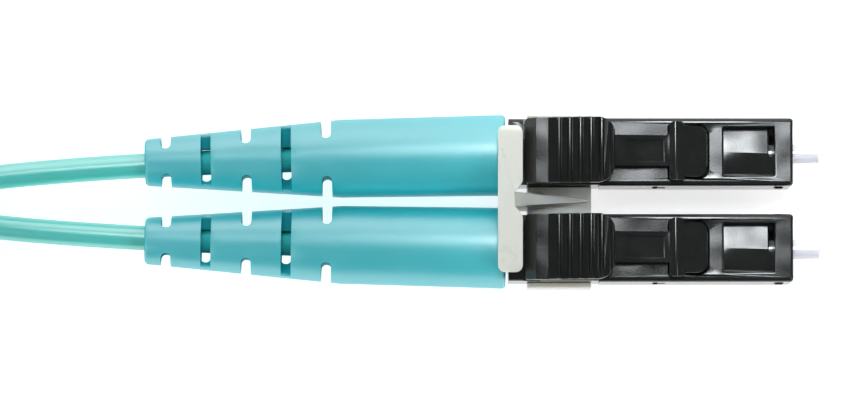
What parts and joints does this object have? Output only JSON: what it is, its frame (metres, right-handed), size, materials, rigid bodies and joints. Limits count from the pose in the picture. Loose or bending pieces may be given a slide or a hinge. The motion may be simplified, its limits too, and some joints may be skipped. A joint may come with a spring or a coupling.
{
  "type": "duplex fibre connector",
  "caption": "Duplex push-pull fibre connector with 1.25 mm ferrules, latch arms, ribbed triggers, a duplex clip, slotted boots and a wound hank of two-fibre cord.",
  "frame": {"origin": "centre of the connector's own footprint, on the surface that its clip lies on", "axes": "+X out of the ferrules, +Z towards the latches and triggers, +Y across the pair"},
  "size_m": [0.1089, 0.0329, 0.0105],
  "materials": {
    "black_plastic": "glossy moulded",
    "ceramic": "polished zirconia ceramic",
    "flange_metal": "nickel plated",
    "fibre_glass": "drawn glass with clear coating",
    "spring_steel": "drawn wire",
    "crimp_metal": "nickel plated brass",
    "sleeve_metal": "drawn",
    "boot_rubber": "satin moulded elastomer",
    "cable_jacket": "semi-gloss extruded",
    "tie_fabric": "hook-and-loop strap",
    "clip_plastic": "milky moulded"
  },
  "bodies": {
    "connector": {"front_housing_a": "black_plastic", "rear_body_a": "black_plastic", "spring_a": "spring_steel", "crimp_body_a": "crimp_metal", "crimp_sleeve_a": "sleeve_metal", "boot_a": "boot_rubber", "cable_leg_a": "cable_jacket", "front_housing_b": "black_plastic", "rear_body_b": "black_plastic", "spring_b": "spring_steel", "crimp_body_b": "crimp_metal", "crimp_sleeve_b": "sleeve_metal", "boot_b": "boot_rubber", "cable_leg_b": "cable_jacket", "duplex_clip": "clip_plastic", "zip_cord": "cable_jacket", "cord_hank": "cable_jacket", "cord_tie_a": "tie_fabric", "cord_tie_b": "tie_fabric"},
    "latch_arm_a": {"latch_a": "black_plastic"},
    "trigger_lever_a": {"trigger_a": "black_plastic"},
    "ferrule_set_a": {"ferrule_a": "ceramic", "ferrule_flange_a": "flange_metal", "fibre_a": "fibre_glass"},
    "latch_arm_b": {"latch_b": "black_plastic"},
    "trigger_lever_b": {"trigger_b": "black_plastic"},
    "ferrule_set_b": {"ferrule_b": "ceramic", "ferrule_flange_b": "flange_metal", "fibre_b": "fibre_glass"}
  },
  "joints": [
    {"name": "trigger_press_a", "type": "hinge", "parent": "connector", "child": "trigger_lever_a", "pos_m": [0.0031, 0.00313, 0.00555], "axis": [0, 1, 0], "range_deg": [0, 10], "stiffness_Nm_per_rad": 0.00005},
    {"name": "latch_flex_a", "type": "hinge", "parent": "connector", "child": "latch_arm_a", "pos_m": [0.0142, 0.00313, 0.0052], "axis": [0, -1, 0], "range_deg": [0, 7.81], "stiffness_Nm_per_rad": 0.00005},
    {"name": "ferrule_push_a", "type": "slide", "parent": "connector", "child": "ferrule_set_a", "axis": [-1, 0, 0], "range_m": [0, 0.0005], "stiffness_N_per_m": 300, "deforming": ["spring_a"]},
    {"name": "trigger_press_b", "type": "hinge", "parent": "connector", "child": "trigger_lever_b", "pos_m": [0.0031, -0.00313, 0.00555], "axis": [0, 1, 0], "range_deg": [0, 10], "stiffness_Nm_per_rad": 0.00005},
    {"name": "latch_flex_b", "type": "hinge", "parent": "connector", "child": "latch_arm_b", "pos_m": [0.0142, -0.00313, 0.0052], "axis": [0, -1, 0], "range_deg": [0, 7.81], "stiffness_Nm_per_rad": 0.00005},
    {"name": "ferrule_push_b", "type": "slide", "parent": "connector", "child": "ferrule_set_b", "axis": [-1, 0, 0], "range_m": [0, 0.0005], "stiffness_N_per_m": 300, "deforming": ["spring_b"]}
  ],
  "couplings": [
    {"joint": "latch_flex_a", "follows": "trigger_press_a", "ratio": 0.78},
    {"joint": "latch_flex_b", "follows": "trigger_press_b", "ratio": 0.78}
  ]
}
